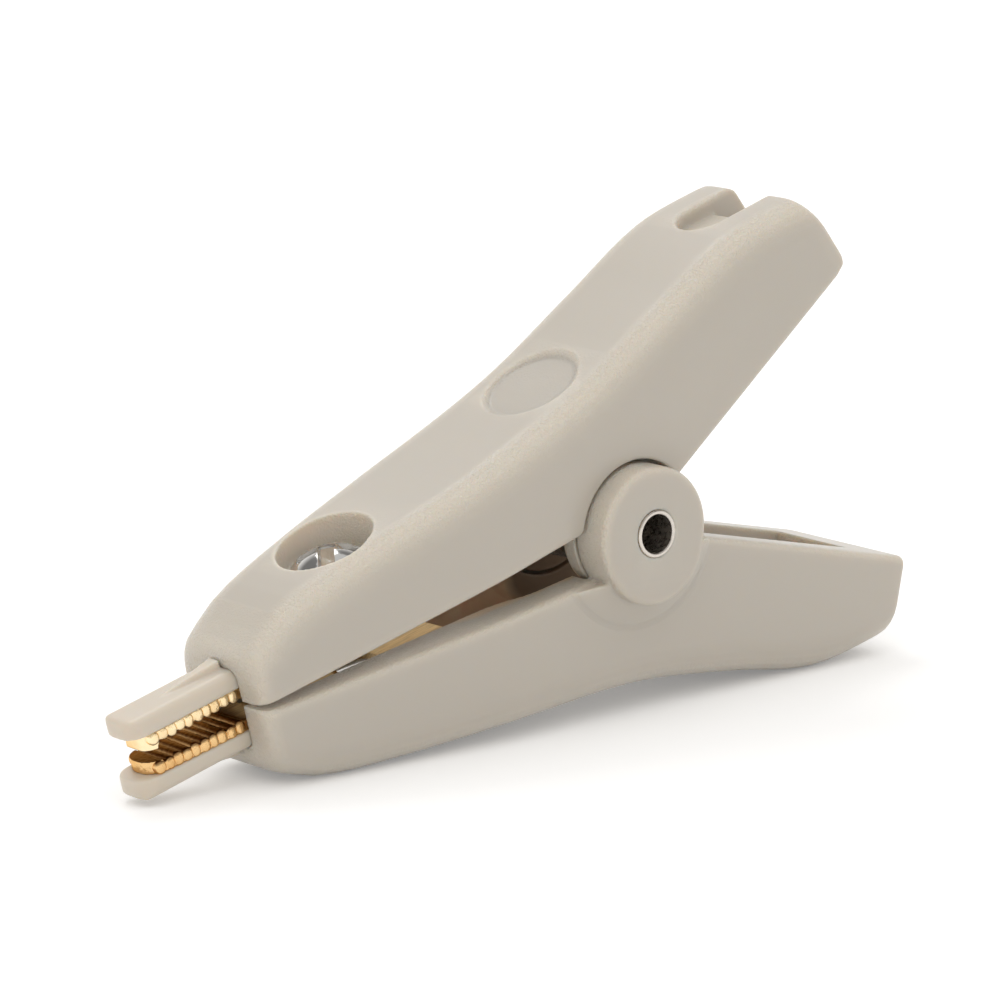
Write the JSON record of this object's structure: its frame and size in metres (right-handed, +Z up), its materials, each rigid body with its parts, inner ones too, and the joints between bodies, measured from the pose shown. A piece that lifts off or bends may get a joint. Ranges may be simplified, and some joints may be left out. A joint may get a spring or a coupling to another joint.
{
  "type": "kelvin test clip",
  "caption": "Sprung plastic clip with insulated gold toothed jaws, one contact per jaw for four-wire resistance measurement; squeezing the tails opens it.",
  "frame": {"origin": "on the hinge axis, midway between the two bosses", "axes": "+Y along the hinge axis, -X towards the jaws, +Z up with the clip lying on its lower handle"},
  "size_m": [0.0795, 0.02, 0.0413],
  "materials": {
    "handle_plastic": "fine matte, warm light grey",
    "backing_plastic": "smooth ivory, slightly translucent",
    "gold_plate": "gold plated brass, filed inside the nose",
    "screw_steel": "bright zinc plate",
    "plated_tube": "nickel plate",
    "spring_wire": "drawn wire"
  },
  "bodies": {
    "lower": {"lower_handle": "handle_plastic", "hinge_tube": "plated_tube", "torsion_spring": "spring_wire", "lower_jaw_backing": "backing_plastic", "lower_contact": "gold_plate", "lower_screw": "screw_steel"},
    "upper": {"upper_handle": "handle_plastic", "upper_jaw_backing": "backing_plastic", "upper_contact": "gold_plate", "upper_screw": "screw_steel"}
  },
  "joints": [
    {"name": "jaw_hinge", "type": "hinge", "parent": "lower", "child": "upper", "pos_m": [0, 0, 0], "axis": [0, 1, 0], "range_deg": [0, 45], "stiffness_Nm_per_rad": 0.25, "springref_deg": -57.3, "deforming": ["torsion_spring"]}
  ]
}
